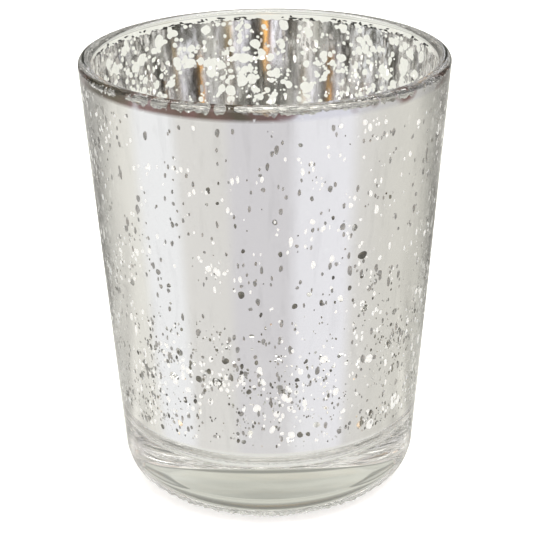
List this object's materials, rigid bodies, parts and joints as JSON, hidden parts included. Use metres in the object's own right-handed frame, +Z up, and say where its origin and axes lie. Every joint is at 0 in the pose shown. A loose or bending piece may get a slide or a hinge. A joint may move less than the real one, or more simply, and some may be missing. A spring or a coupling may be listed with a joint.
{
  "type": "tealight holder",
  "caption": "Tapered clear glass tealight cup with a heavy base and a speckled silver mirror lining that ends raggedly just under its rounded lip.",
  "frame": {"origin": "centre of the foot, on the surface that the cup stands on", "axes": "+Z up along the cup's axis, from the foot to the lip; the cup is round, so +X and +Y are any two level directions at a right angle"},
  "size_m": [0.057, 0.057, 0.07],
  "materials": {
    "clear_glass": "polished pressed glass, with a stippled foot",
    "speckled_silver": "mirror silver broken by pinholes and blobs of clear glass"
  },
  "bodies": {
    "root": {"glass_cup": "clear_glass", "silver_lining": "speckled_silver"}
  },
  "joints": []
}
